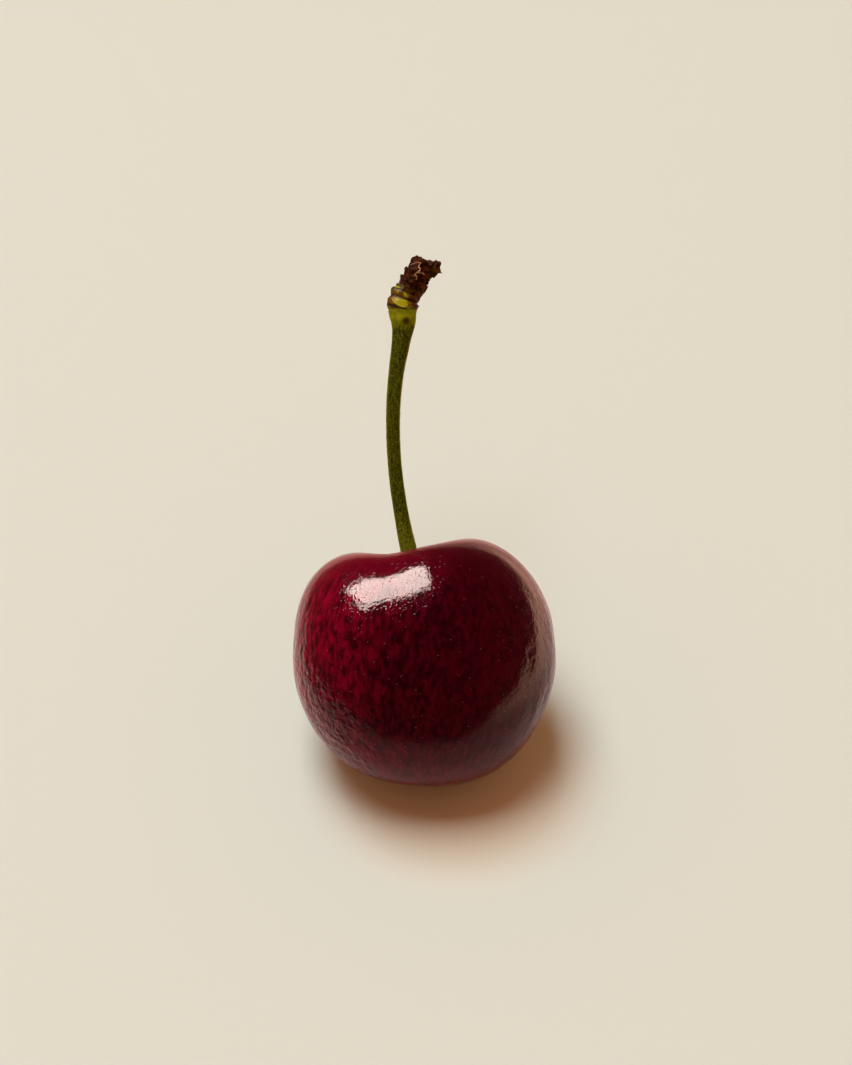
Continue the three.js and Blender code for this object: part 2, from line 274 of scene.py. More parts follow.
class CherrySkinSettings(bpy.types.PropertyGroup):
    """Colours and gloss of the fruit's skin."""

    dark: bpy.props.FloatVectorProperty(
        name="Dark flesh",
        description="Colour between the streaks on the dark side",
        subtype="COLOR",
        size=4,
        min=0,
        max=1,
        default=(0.015, 0.0001, 0.0018, 1),
    )
    streak: bpy.props.FloatVectorProperty(
        name="Streaks",
        description="Colour of the streaks on the dark side",
        subtype="COLOR",
        size=4,
        min=0,
        max=1,
        default=(0.068, 0.0002, 0.0048, 1),
    )
    # The red cheek's colours: partly the fruit's own redness, partly painted light from the upper left.
    blush_and_painted_light_dark: bpy.props.FloatVectorProperty(
        name="Blush flesh",
        description="Colour between the streaks on the red cheek",
        subtype="COLOR",
        size=4,
        min=0,
        max=1,
        default=(0.05, 0.0002, 0.004, 1),
    )
    blush_and_painted_light_streak: bpy.props.FloatVectorProperty(
        name="Blush streaks",
        description="Colour of the streaks on the red cheek",
        subtype="COLOR",
        size=4,
        min=0,
        max=1,
        default=(0.295, 0.0004, 0.019, 1),
    )
    roughness: bpy.props.FloatProperty(
        name="Gloss roughness",
        description="How blurred the shine on the skin is",
        min=0,
        max=1,
        default=0.075,
    )


class CherryStemSettings(bpy.types.PropertyGroup):
    """Colours of the stem."""

    shade: bpy.props.FloatVectorProperty(
        name="Dark green",
        description="Colour of the fine dark lines along the stem",
        subtype="COLOR",
        size=4,
        min=0,
        max=1,
        default=(0.018, 0.017, 0.0002, 1),
    )
    green: bpy.props.FloatVectorProperty(
        name="Stem green",
        description="Main colour of the stem",
        subtype="COLOR",
        size=4,
        min=0,
        max=1,
        default=(0.07, 0.07, 0.0003, 1),
    )
    specks: bpy.props.FloatVectorProperty(
        name="Specks",
        description="Colour of the pale specks on the stem",
        subtype="COLOR",
        size=4,
        min=0,
        max=1,
        default=(0.2, 0.19, 0.008, 1),
    )
    collar: bpy.props.FloatVectorProperty(
        name="Collar",
        description="Colour of the collar at the top of the stem",
        subtype="COLOR",
        size=4,
        min=0,
        max=1,
        default=(0.29, 0.27, 0.006, 1),
    )


class CherryStageSettings(bpy.types.PropertyGroup):
    """Floor and camera."""

    elevation: bpy.props.FloatProperty(
        name="Camera elevation",
        description="How far the camera looks down from level",
        unit="ROTATION",
        default=math.radians(45),
    )
    distance: bpy.props.FloatProperty(
        name="Camera distance",
        description="From the camera to the fruit's middle",
        unit="LENGTH",
        default=0.32,
    )
    view_height: bpy.props.FloatProperty(
        name="Height in view",
        description="How much the picture's height takes in at the fruit",
        unit="LENGTH",
        default=0.1136,
    )
    floor: bpy.props.FloatVectorProperty(
        name="Floor colour",
        description="Colour of the plain floor",
        subtype="COLOR",
        size=4,
        min=0,
        max=1,
        default=(0.80, 0.78, 0.7, 1),
    )
    # Painted warm light on the floor, under and just ahead of the fruit.
    floor_painted_warm_light: bpy.props.FloatVectorProperty(
        name="Glow colour",
        description="Floor colour under and just ahead of the fruit, warmed by light off its skin",
        subtype="COLOR",
        size=4,
        min=0,
        max=1,
        default=(0.97, 0.8, 0.64, 1),
    )


# ---------------------------------------------------------------- meshes


def smoothstep(value):
    t = np.clip(value, 0, 1)
    return t * t * (3 - 2 * t)


def unit(direction):
    v = np.asarray(direction, float)
    return v / np.linalg.norm(v)


def in_row(points):
    """Points of the fruit's own frame, in millimetres, moved to the row frame, in metres."""
    matrix = np.array(TO_ROW)
    flat = np.asarray(points, float).reshape(-1, 3)
    return flat @ matrix[:3, :3].T + matrix[:3, 3]


def ring_skin(name, rings):
    """A closed mesh over rings of points, with a fan of faces over each end."""
    count, sides = rings.shape[:2]
    ends = np.stack([rings[0].mean(0), rings[-1].mean(0)])
    points = in_row(np.concatenate([rings.reshape(-1, 3), ends]))
    i, j = np.meshgrid(np.arange(count - 1), np.arange(sides), indexing="ij")
    a = i * sides + j
    b = i * sides + (j + 1) % sides
    walls = np.stack([a, b, b + sides, a + sides], -1).reshape(-1, 4)
    k = np.arange(sides)
    after = (k + 1) % sides
    last = (count - 1) * sides
    first_fan = np.stack([np.full(sides, count * sides), after, k], -1)
    last_fan = np.stack([np.full(sides, count * sides + 1), last + k, last + after], -1)
    mesh = bpy.data.meshes.new(name)
    mesh.from_pydata(points.tolist(), [], walls.tolist() + first_fan.tolist() + last_fan.tolist())
    mesh.validate()
    mesh.shade_smooth()
    return mesh


def new_piece(name, mesh, node_name, material):
    """A piece that rides on the cherry and stands for a node of the frame, where it has one."""
    piece = bpy.data.objects.new(name, mesh)
    bpy.context.scene.collection.objects.link(piece)
    mesh.materials.append(material)
    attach(piece, BODY)
    if node_name:
        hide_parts(node_name)
    return piece


def smooth_line(stations, steps):
    """Points on a Catmull-Rom curve through the stations, with equal steps between each pair."""
    p = np.asarray(stations, float)
    p = np.vstack([2 * p[0] - p[1], p, 2 * p[-1] - p[-2]])
    t = np.linspace(0, 1, steps, endpoint=False)[:, None]
    parts = []
    for a, b, c, d in zip(p, p[1:], p[2:], p[3:]):
        bend = (2 * a - 5 * b + 4 * c - d) * t * t + (3 * b - a - 3 * c + d) * t**3
        parts.append(0.5 * (2 * b + (c - a) * t + bend))
    parts.append(p[-2][None])
    return np.vstack(parts)


def crosswise(along):
    """Two directions square to each direction along a line, the first as near +X as can be."""
    right = np.array([1.0, 0, 0]) - along * along[..., :1]
    right /= np.linalg.norm(right, axis=-1, keepdims=True)
    return right, np.cross(along, right)


def tube_rings(centres, radii, sides):
    """Rings round a line. radii has one value for each ring and side."""
    along = np.gradient(centres, axis=0)
    along /= np.linalg.norm(along, axis=1, keepdims=True)
    right, back = crosswise(along)
    around = 2 * math.pi * np.arange(sides) / sides
    ring = np.cos(around)[None, :, None] * right[:, None] + np.sin(around)[None, :, None] * back[:, None]
    return centres[:, None] + radii[..., None] * ring


def noise_at(points, scale, seed=0.0):
    """Smooth noise from -1 to 1 at each point."""
    flat = (np.asarray(points).reshape(-1, 3) * scale + seed * 7.31).tolist()
    values = [noise.noise(Vector(p)) for p in flat]
    return np.array(values).reshape(np.shape(points)[:-1])


# ---------------------------------------------------------------- fruit


def skin_distance(u):
    """How far the skin lies from the fruit's centre in each direction of length 1."""
    boxiness = (np.abs(u / HALF_SIZES) ** SQUARENESS).sum(-1)
    distance = boxiness ** (-1 / SQUARENESS) * (1 + SHOULDER_WIDENING * u[..., 2])
    for rise, direction, spread in FULLNESSES:
        distance = distance + rise * np.exp((u @ unit(direction) - 1) / spread)
    cavity_axis = np.array([-math.sin(CAVITY_TILT), 0, math.cos(CAVITY_TILT)])
    from_cavity = np.arccos(np.clip(u @ cavity_axis, -1, 1))
    distance -= CAVITY_DEPTH * np.exp(-((from_cavity / CAVITY_WIDTH) ** 2))
    from_stem = np.arccos(np.clip(u[..., 2], -1, 1))
    across = (u[..., 0] + SEAM_TWIST * u[..., 2]) / SEAM_DIP_WIDTH
    along = (from_stem - SEAM_DIP_AT) / SEAM_DIP_LENGTH
    turn = smoothstep((u[..., 1] / SEAM_DIP_BLEND + 1) / 2)
    depth = SEAM_DIP_FRONT + (SEAM_DIP_BACK - SEAM_DIP_FRONT) * turn
    fade = (u[..., 1] ** 2 + SEAM_DIP_SHARE_IN_CAVITY**8) ** 0.125
    distance -= depth * fade * np.exp(-across * across - along * along)
    ripple = smoothstep((from_stem - RIPPLE_FROM) / RIPPLE_BLEND)
    return distance - FLANK_RIPPLE * ripple * np.cos(RIPPLE_COUNT * from_stem)


def fruit_points():
    """Rings from the far end to the cavity, closer together round the cavity and centred on it."""
    share = (np.arange(FRUIT_RINGS, 0, -1) - 0.5) / FRUIT_RINGS
    angle = math.pi * ((1 - RING_CROWDING) * share + RING_CROWDING * share * share)
    around = 2 * math.pi * np.arange(FRUIT_SIDES) / FRUIT_SIDES
    flat = np.sin(angle)[:, None]
    up = np.broadcast_to(np.cos(angle)[:, None], (FRUIT_RINGS, FRUIT_SIDES))
    u = np.stack([flat * np.cos(around), flat * np.sin(around), up], -1)
    tilt = (-CAVITY_TILT * (1 - angle / math.pi))[:, None]
    x = u[..., 0] * np.cos(tilt) + u[..., 2] * np.sin(tilt)
    z = u[..., 2] * np.cos(tilt) - u[..., 0] * np.sin(tilt)
    u = np.stack([x, u[..., 1], z], -1)
    distance = skin_distance(u)
    distance += sum(height * noise_at(u, fineness, seed) for height, fineness, seed in LUMPS)
    from_scar = np.arccos(np.clip(u @ unit(SCAR_TOWARDS), -1, 1))
    distance -= SCAR_DEPTH * np.exp(-((from_scar / SCAR_REACH) ** 2))
    flank = smoothstep((np.abs(u[..., 0] + PLEATS_SHIFT) - PLEATS_FROM) / PLEATS_BLEND)
    ring = np.stack([np.cos(around), np.sin(around)], -1)
    ring = np.broadcast_to(PLEATS_AROUND * ring, u.shape[:2] + (2,))
    pleats = np.concatenate([ring, PLEATS_ALONG * u[..., 2:]], -1)
    distance += PLEAT_DEPTH * flank * noise_at(pleats, 1.0, 3)
    return u * distance[..., None]


def fruit_mesh():
    """The fruit's skin, pressed flat where it would dip below the floor."""
    mesh = ring_skin("fruit_skin", fruit_points())
    floor = FRUIT_LOW.z
    for vertex in mesh.vertices:
        vertex.co.z = max(vertex.co.z, floor)
    return mesh


# ---------------------------------------------------------------- stem


def stem_mesh():
    """The stem, with soft ribs that twist up it, small lumps and a dimple on the collar."""
    line = smooth_line(STEM_STATIONS, 16)
    around = 2 * math.pi * np.arange(STEM_SIDES) / STEM_SIDES
    along = np.arange(len(line))[:, None] * 0.1
    ribs = sum(
        height * np.cos(number * around + twist * along + start)
        for height, number, twist, start in STEM_RIBS
    )
    radii = line[:, 3:4] / 2 * (1 + ribs)
    rings = tube_rings(line[:, :3], radii, STEM_SIDES)
    radii = radii + 0.02 * noise_at(rings, 2.4, 4) + 0.012 * noise_at(rings, 6.0, 5)
    spot = np.linalg.norm(rings - np.array(COLLAR_SPOT), axis=-1)
    radii = radii - COLLAR_SPOT_DEPTH * np.exp(-((spot / COLLAR_SPOT_REACH) ** 2))
    return ring_skin("stem", tube_rings(line[:, :3], radii, STEM_SIDES))


# ---------------------------------------------------------------- spur end


def stub_line():
    """Fine points up the stub's line, each one's share of the way, and the line's length."""
    points = smooth_line(STUB_LINE, 40)
    lengths = np.concatenate([[0], np.cumsum(np.linalg.norm(np.diff(points, axis=0), axis=1))])
    return points, lengths / lengths[-1], lengths[-1]


def stub_places(shares):
    """Centre and direction on the stub's line at each share, straight on past its end."""
    points, at, length = stub_line()
    along = np.gradient(points, axis=0)
    along /= np.linalg.norm(along, axis=1, keepdims=True)
    within = np.clip(shares, 0, 1)
    centre = np.stack([np.interp(within, at, points[:, k]) for k in range(3)], -1)
    direction = np.stack([np.interp(within, at, along[:, k]) for k in range(3)], -1)
    direction /= np.linalg.norm(direction, axis=-1, keepdims=True)
    return centre + direction * ((shares - within) * length)[..., None], direction


def stub_mesh():
    """The ringed stub, with uneven lobes and a rough bark."""
    profile = np.array(STUB_PROFILE)
    shares = np.linspace(profile[0, 0], profile[-1, 0], 120)
    radius = np.interp(shares, profile[:, 0], profile[:, 1])
    radius = np.convolve(np.pad(radius, 1, mode="edge"), [0.25, 0.5, 0.25], mode="valid")
    around = 2 * math.pi * np.arange(STUB_SIDES) / STUB_SIDES
    lobes = sum(
        height * np.sin(number * around + twist * shares[:, None])
        for height, number, twist in STUB_LOBES
    )
    radii = radius[:, None] * (1 + lobes)
    centres, _ = stub_places(shares)
    rings = tube_rings(centres, radii, STUB_SIDES)
    radii = radii + 0.05 * noise_at(rings, 1.5, 6) + 0.03 * noise_at(rings, 4.5, 7)
    return ring_skin("spur_stub", tube_rings(centres, radii, STUB_SIDES))


def uneven(seed, along):
    """A ragged wave from -1 to 1."""
    return 0.6 * np.sin(5.1 * along + 2.3 * seed) + 0.4 * np.sin(11.7 * along + 4.9 * seed)


def scale_mesh(name, middle, span, foot, tip, inner, flare, point, seed):
    """A dried scale lapped round the stub: crumpled, rough, pointed and thinner towards its tip."""
    across = np.linspace(1 - SCALE_SIDE_INSET, SCALE_SIDE_INSET, SCALE_COLUMNS)[:, None]
    up = np.linspace(0, 1, SCALE_ROWS)[None, :]
    edge = 1 - (2 * across - 1) ** 2
    drop = (1 - edge**SCALE_TIP_ROUNDNESS) * point * (tip - foot)
    top = tip - drop + SCALE_TEAR * uneven(seed, 6 * across)
    top = top + SCALE_FINE_TEAR * np.sin(41 * across + seed)
    share = foot + (top - foot) * up
    around = np.broadcast_to(np.radians(middle + span * (across - 0.5)), share.shape)
    crumple = SCALE_CRUMPLE * uneven(seed + 3, 5 * across + 3 * up) * up
    centre, direction = stub_places(share)
    right, back = crosswise(direction)

    def surface(outwards):
        radius = inner + flare * up * up + crumple + outwards
        ring = np.cos(around)[..., None] * right + np.sin(around)[..., None] * back
        points = centre + ring * radius[..., None]
        rough = 0.07 * noise_at(points, 1.9, seed) + 0.05 * noise_at(points, 4.3, seed + 9)
        return points + ring * rough[..., None]

    outside = surface(SCALE_THICKNESS * (1 - SCALE_THINNING * up))
    inside = surface(0.0)[:, ::-1]
    mesh = ring_skin(name, np.concatenate([outside, inside], 1))
    mesh.set_sharp_from_angle(angle=SCALE_SHARP_EDGE)
    return mesh


def flap_mesh():
    """The torn flap: a wavy tongue with ragged edges, from the stub's end out to the right."""
    share = np.linspace(0, 1, FLAP_COLUMNS)[:, None]
    around = 2 * math.pi * np.arange(FLAP_SIDES)[None, :] / FLAP_SIDES
    taper = FLAP_ROOT_WIDTH + (FLAP_TIP_WIDTH - FLAP_ROOT_WIDTH) * share
    width = taper * (1 + FLAP_RAGGEDNESS * uneven(8, 5 * share))
    wave = FLAP_WAVE * np.sin(3 * around + 4 * share)
    x = FLAP_ROOT[0] + FLAP_REACH[0] * share + 0.1 * np.sin(2 * around + 3 * share)
    half_thickness = FLAP_THICKNESS + FLAP_ROOT_THICKENING * (1 - share)
    y = FLAP_ROOT[1] + half_thickness * np.cos(around) + wave
    lift = FLAP_LIFT * uneven(9, 4 * share)
    z = FLAP_ROOT[2] + FLAP_REACH[1] * share + lift + width / 2 * np.sin(around)
    points = np.stack([x, y, z], -1)
    rough = np.stack([noise_at(points, 2.6, 11 + k) for k in range(3)], -1)
    return ring_skin("torn_flap", points + FLAP_ROUGHNESS * rough)


def laid_on(places, meshes):
    """Points at each x and z, moved back along y until they meet the front of the meshes."""
    trees = [
        BVHTree.FromPolygons([v.co for v in mesh.vertices], [face.vertices for face in mesh.polygons])
        for mesh in meshes
    ]
    back = (TO_ROW.to_3x3() @ Vector((0, 1, 0))).normalized()
    laid = []
    for x, z in places:
        start = TO_ROW @ Vector((x, AHEAD, z))
        hits = [tree.ray_cast(start, back) for tree in trees]
        reach = min(hit[3] for hit in hits if hit[0] is not None)
        laid.append((x, reach / MM + AHEAD + FIBRE_SINK, z))
    return np.array(laid)


def fibre_mesh(name, line, half_thickness):
    """A thin thread along a line, uneven in thickness and tapered at both ends."""
    share = np.linspace(0, 1, len(line))[:, None]
    taper = np.sqrt(np.clip(1 - (2 * share - 1) ** 6, 0.04, 1))
    radii = half_thickness * taper * (1 + 0.25 * np.sin(17 * share + 20 * half_thickness))
    rings = tube_rings(line, np.repeat(radii, FIBRE_SIDES, 1), FIBRE_SIDES)
    return ring_skin(name, rings + 0.03 * noise_at(rings, 3.0, 21)[..., None])


# ---------------------------------------------------------------- materials


class Shader:
    """A material's nodes, added one by one. An input is a socket to link or a plain value."""

    def __init__(self, name):
        self.material = bpy.data.materials.new(name)
        self.material.use_nodes = True
        self.nodes = self.material.node_tree.nodes
        self.links = self.material.node_tree.links
        self.nodes.clear()
        self.output = self.nodes.new("ShaderNodeOutputMaterial")
        self.surface = self.nodes.new("ShaderNodeBsdfPrincipled")
        self.links.new(self.surface.outputs[0], self.output.inputs["Surface"])

    def add(self, kind, inputs=None, **properties):
        made = self.nodes.new("ShaderNode" + kind)
        for key, value in properties.items():
            setattr(made, key, value)
        for key, value in (inputs or {}).items():
            self.set(made, key, value)
        return made

    def set(self, node, key, value):
        if isinstance(value, bpy.types.NodeSocket):
            self.links.new(value, node.inputs[key])
        else:
            node.inputs[key].default_value = value

    def finish(self, **inputs):
        for key, value in inputs.items():
            self.set(self.surface, key.replace("_", " "), value)
        return self.material

    def math(self, operation, a, b=0.0):
        return self.add("Math", {0: a, 1: b}, operation=operation).outputs[0]

    def noise(self, vector, scale, detail=2.0, roughness=0.5, distortion=0.0):
        inputs = {"Vector": vector, "Scale": scale, "Detail": detail}
        inputs.update({"Roughness": roughness, "Distortion": distortion})
        return self.add("TexNoise", inputs).outputs["Fac"]

    def band(self, value, low, high, to_low=0.0, to_high=1.0):
        """Maps low..high smoothly to to_low..to_high."""
        inputs = {"Value": value, "From Min": low, "From Max": high}
        inputs.update({"To Min": to_low, "To Max": to_high})
        return self.add("MapRange", inputs, interpolation_type="SMOOTHSTEP").outputs["Result"]

    def mix(self, factor, a, b):
        """Colour a where the factor is 0, and colour b where it is 1."""
        made = self.add("Mix", data_type="RGBA")
        self.set(made, "Factor", factor)
        self.set(made, 6, a)
        self.set(made, 7, b)
        return made.outputs[2]

    def bump(self, height, distance, normal=None):
        """Raises the surface by the distance where the height is 1, on top of another bump if given."""
        inputs = {"Height": height, "Distance": distance, "Strength": 1.0}
        if normal is not None:
            inputs["Normal"] = normal
        return self.add("Bump", inputs).outputs["Normal"]

    def own_frame(self):
        """The point in the fruit's own frame, in millimetres."""
        inputs = {"Vector": self.add("TexCoord").outputs["Object"]}
        inputs.update({"Location": FRUIT_CENTRE, "Rotation": (-LEAN, 0, 0), "Scale": (MM, MM, MM)})
        return self.add("Mapping", inputs, vector_type="TEXTURE").outputs[0]

    def parts(self, vector):
        return self.add("SeparateXYZ", {0: vector}).outputs

    def vector(self, x, y, z):
        return self.add("CombineXYZ", {"X": x, "Y": y, "Z": z}).outputs[0]

    def vector_math(self, operation, a, b=(0, 0, 0)):
        made = self.add("VectorMath", {0: a, 1: b}, operation=operation)
        return made.outputs["Value" if operation in ("LENGTH", "DISTANCE", "DOT_PRODUCT") else "Vector"]

    def meridian(self, point, turns, rise):
        """A place that goes round the stem's axis in X and Y, and from stem to tip in Z."""
        flat = self.vector_math("NORMALIZE", self.vector_math("MULTIPLY", point, (1, 1, 0)))
        from_stem = self.math("ARCCOSINE", self.parts(self.vector_math("NORMALIZE", point))["Z"])
        turned = self.vector_math("MULTIPLY", flat, (turns, turns, 0))
        along = self.vector(0.0, 0.0, self.math("MULTIPLY", from_stem, rise))
        return self.vector_math("ADD", turned, along)


def skin_colour(s, settings, point):
    """Short streaks that run to the stem over dark flesh, redder on the left cheek, the lower left and
    round the tip. The redness on the upper left cheek is partly the fruit's own redness and partly
    painted light from the upper left.
    """
    dashes = s.noise(s.meridian(point, 24, 12), 1.0, 2.0, 0.55, 0.3)
    mottles = s.noise(s.meridian(point, 11, 7), 1.0, 2.0, 0.5, 0.5)
    streaks = s.math("ADD", s.math("MULTIPLY", dashes, 0.68), s.math("MULTIPLY", mottles, 0.32))
    streaks = s.band(streaks, 0.36, 0.68)
    outwards = s.vector_math("NORMALIZE", point)
    height = s.parts(outwards)["Z"]
    by_stem = s.band(height, 0.45, 0.8, 0.0, 0.75)
    by_tip = s.band(height, -0.85, -0.4, 0.5, 0.0)
    on_right = s.band(s.parts(outwards)["X"], -0.1, 0.5, 0.0, 0.4)
    even = s.math("MAXIMUM", s.math("MAXIMUM", by_stem, by_tip), on_right)
    streaks = s.math("ADD", streaks, s.math("MULTIPLY", even, s.math("SUBTRACT", 0.5, streaks)))
    patches = s.math("MULTIPLY", s.noise(point, 0.16, 1.0), 0.5)
    # Redder towards the upper left cheek: partly the fruit's own redness, partly painted light from the
    # upper left.
    cheek = s.vector_math("DOT_PRODUCT", outwards, (-0.87, 0.0, 0.49))
    cheek = s.band(s.math("ADD", cheek, patches), 0.25, 1.25)
    low = s.vector_math("DOT_PRODUCT", outwards, (-0.62, 0.0, -0.78))
    cheek = s.math("MAXIMUM", cheek, s.band(s.math("ADD", low, patches), 0.65, 1.3, 0.0, 0.62))
    tip = s.band(height, -0.97, -0.55, 0.42, 0.0)
    blush_and_painted_light = s.math("MAXIMUM", cheek, tip)
    shade = s.mix(streaks, tuple(settings.dark), tuple(settings.streak))
    glow = s.mix(streaks, tuple(settings.blush_and_painted_light_dark), tuple(settings.blush_and_painted_light_streak))
    scar = s.vector_math("DISTANCE", outwards, tuple(unit(SCAR_TOWARDS)))
    scar = s.band(scar, 0.02, 0.045, 0.9, 0.0)
    return s.mix(scar, s.mix(blush_and_painted_light, shade, glow), (0.07, 0.025, 0.008, 1))


def skin_normal(s, point):
    """Fine peel and pimples all over, with wrinkles and dimples on the flanks and lower left."""
    peel = s.noise(point, 1.6, 2.0, 0.5)
    fine = s.noise(point, 2.8, 2.0, 0.5)
    pimples = s.band(s.noise(point, 4.0, 1.0, 0.5), 0.6, 0.74)
    outwards = s.vector_math("NORMALIZE", point)
    flank = s.band(s.math("ABSOLUTE", s.parts(outwards)["X"]), 0.6, 0.95)
    lower_left = s.vector_math("DOT_PRODUCT", outwards, (-0.86, -0.26, -0.44))
    lower_left = s.band(lower_left, 0.66, 0.95)
    worn = s.math("MAXIMUM", s.math("MULTIPLY", flank, 0.45), lower_left)
    wrinkles = s.noise(s.meridian(point, 14, 13), 1.0, 2.0, 0.55, 0.7)
    dimples = s.noise(point, 1.3, 1.0, 0.5, 0.4)
    normal = s.bump(peel, PEEL_HEIGHT)
    normal = s.bump(fine, FINE_PEEL_HEIGHT, normal)
    normal = s.bump(pimples, PIMPLE_HEIGHT, normal)
    normal = s.bump(s.math("MULTIPLY", wrinkles, worn), WRINKLE_HEIGHT, normal)
    return s.bump(s.math("MULTIPLY", dimples, worn), DIMPLE_HEIGHT, normal)


def skin_material(settings):
    """Glossy streaked skin with tiny pale dots, and a soft red sheen that fades towards the tip."""
    s = Shader("cherry_skin")
    point = s.own_frame()
    colour = skin_colour(s, settings, point)
    height = s.parts(s.vector_math("NORMALIZE", point))["Z"]
    dots = s.add("TexVoronoi", {"Vector": point, "Scale": 1.15, "Randomness": 1.0})
    dotted = s.band(dots.outputs["Distance"], 0.05, 0.1, 0.5, 0.0)
    colour = s.mix(dotted, colour, (0.3, 0.1, 0.09, 1))
    return s.finish(
        Base_Color=colour,
        Roughness=settings.roughness,
        IOR=1.45,
        Specular_IOR_Level=0.18,
        Normal=skin_normal(s, point),
        Subsurface_Weight=0.4,
        Subsurface_Radius=(1.0, 0.12, 0.1),
        Subsurface_Scale=0.4 * MM,
        Sheen_Weight=s.band(height, -0.95, -0.5, 0.05, 0.3),
        Sheen_Roughness=0.4,
        Sheen_Tint=(1.0, 0.26, 0.24, 1),
    )


def stem_material(settings):
    """Olive green with fine lines and pale specks, denser and paler towards the foot, yellow-green at
    the collar, one brown spot, and a painted yellow-green rim light along its edges. The paler foot is
    partly painted light.
    """
    s = Shader("green_stem")
    point = s.own_frame()
    height = s.parts(point)["Z"]
    lines = s.noise(s.vector_math("MULTIPLY", point, (7, 7, 1.6)), 1.0, 3.0, 0.6)
    colour = s.mix(s.band(lines, 0.35, 0.65), tuple(settings.shade), tuple(settings.green))
    specks = s.noise(point, 6.0, 2.0, 0.6)
    # Denser pale specks towards the stem's foot: partly its own specks, partly painted light on the
    # foot.
    specks_and_painted_foot_light = s.math("ADD", specks, s.band(height, 11.0, 18.0, 0.17, 0.0))
    colour = s.mix(s.band(specks_and_painted_foot_light, 0.5, 0.72, 0.0, 0.75), colour, tuple(settings.specks))
    collar = s.band(s.math("ADD", height, s.math("MULTIPLY", lines, 1.5)), 35.9, 37.5)
    patches = s.math("MULTIPLY", s.band(s.noise(point, 1.2, 2.0), 0.35, 0.65), 0.5)
    colour = s.mix(collar, colour, s.mix(patches, tuple(settings.collar), tuple(settings.green)))
    # Painted rim light: where the stem turns away from view, its colour is mixed towards the collar's
    # yellow-green.
    rim = s.add("LayerWeight", {"Blend": 0.5}).outputs["Facing"]
    colour = s.mix(s.band(rim, 0.35, 0.8, 0.0, 0.8), colour, tuple(settings.collar))
    spot = s.vector_math("DISTANCE", point, COLLAR_SPOT)
    colour = s.mix(s.band(spot, 0.2, 0.65, 0.94, 0.0), colour, (0.035, 0.016, 0.001, 1))
    normal = s.bump(lines, STEM_LINE_HEIGHT)
    normal = s.bump(specks, STEM_SPECK_HEIGHT, normal)
    return s.finish(
        Base_Color=colour,
        Roughness=0.5,
        Specular_IOR_Level=0.02,
        Normal=normal,
        Subsurface_Weight=0.6,
        Subsurface_Radius=(1.0, 0.9, 0.2),
        Subsurface_Scale=0.7 * MM,
    )


def stub_material():
    """Yellow-green rings with painted shade along the grooves, rusty spots and one bright crease,
    browner to the right.
    """
    s = Shader("ringed_bark")
    point = s.own_frame()
    xyz = s.parts(point)
    blotches = s.noise(point, 1.1, 3.0, 0.6)
    greens = s.noise(point, 0.9, 1.0, 0.5)
    colour = s.mix(s.band(greens, 0.42, 0.58), (0.1, 0.1, 0.001, 1), (0.4, 0.33, 0.006, 1))
    wobble = s.math("MULTIPLY", s.math("SUBTRACT", blotches, 0.5), 4.0)
    edge = s.math("ADD", xyz["X"], s.math("MULTIPLY", s.math("SUBTRACT", xyz["Z"], 38.6), 0.1))
    colour = s.mix(s.band(s.math("ADD", edge, wobble), -2.2, -1.1), colour, (0.09, 0.016, 0.001, 1))
    for place, reach in RUST_SPOTS:
        near = s.math("ADD", s.vector_math("DISTANCE", point, place), s.math("MULTIPLY", wobble, 0.25))
        colour = s.mix(s.band(near, 0.4 * reach, reach, 0.85, 0.0), colour, (0.16, 0.028, 0.001, 1))
    bow = s.math("SUBTRACT", s.vector_math("DISTANCE", point, CREASE_CENTRE), CREASE_RADIUS)
    within = s.band(s.vector_math("DISTANCE", point, CREASE_MIDDLE), 0.7, 1.1, 1.0, 0.0)
    crease = s.math("MULTIPLY", s.band(s.math("ABSOLUTE", bow), 0.02, 0.12, 1.0, 0.0), within)
    colour = s.mix(crease, colour, (0.6, 0.42, 0.03, 1))
    from_foot = s.vector_math("SUBTRACT", point, STUB_LINE[0])
    up_stub = s.vector_math("DOT_PRODUCT", from_foot, (0.3, 0.0, 0.95))
    up_stub = s.math("ADD", up_stub, s.math("MULTIPLY", wobble, 0.04))
    # Painted shade: the bark is darkened along each groove between the rings.
    for groove in GROOVES:
        near = s.math("ABSOLUTE", s.math("SUBTRACT", up_stub, groove))
        colour = s.mix(s.band(near, 0.05, 0.2, 0.85, 0.0), colour, (0.03, 0.007, 0.0004, 1))
    pores = s.noise(point, 4.5, 2.0, 0.6)
    normal = s.bump(pores, PORE_HEIGHT)
    normal = s.bump(crease, CREASE_HEIGHT, normal)
    return s.finish(Base_Color=colour, Roughness=0.45, Specular_IOR_Level=0.06, Normal=normal)


def scale_material():
    """Dark red-brown dried skin with olive patches and redder crests, which are partly the scales' own
    colour and partly a painted highlight on the raised crumples.
    """
    s = Shader("dried_scale")
    point = s.own_frame()
    patches = s.noise(point, 1.6, 4.0, 0.65)
    crests = s.noise(point, 3.2, 3.0, 0.6)
    colour = s.mix(s.band(patches, 0.4, 0.65), (0.013, 0.002, 0.0002, 1), (0.085, 0.014, 0.001, 1))
    # Redder on the raised crests: partly the scales' own colour, partly a painted highlight.
    colour = s.mix(s.band(crests, 0.58, 0.72, 0.0, 0.6), colour, (0.2, 0.05, 0.012, 1))
    olive = s.band(s.noise(point, 0.8, 2.0), 0.52, 0.66, 0.0, 0.5)
    colour = s.mix(olive, colour, (0.06, 0.035, 0.001, 1))
    return s.finish(
        Base_Color=colour,
        Roughness=0.5,
        Specular_IOR_Level=0.03,
        Specular_Tint=(1, 0.6, 0.4, 1),
        Normal=s.bump(crests, CREST_HEIGHT),
    )


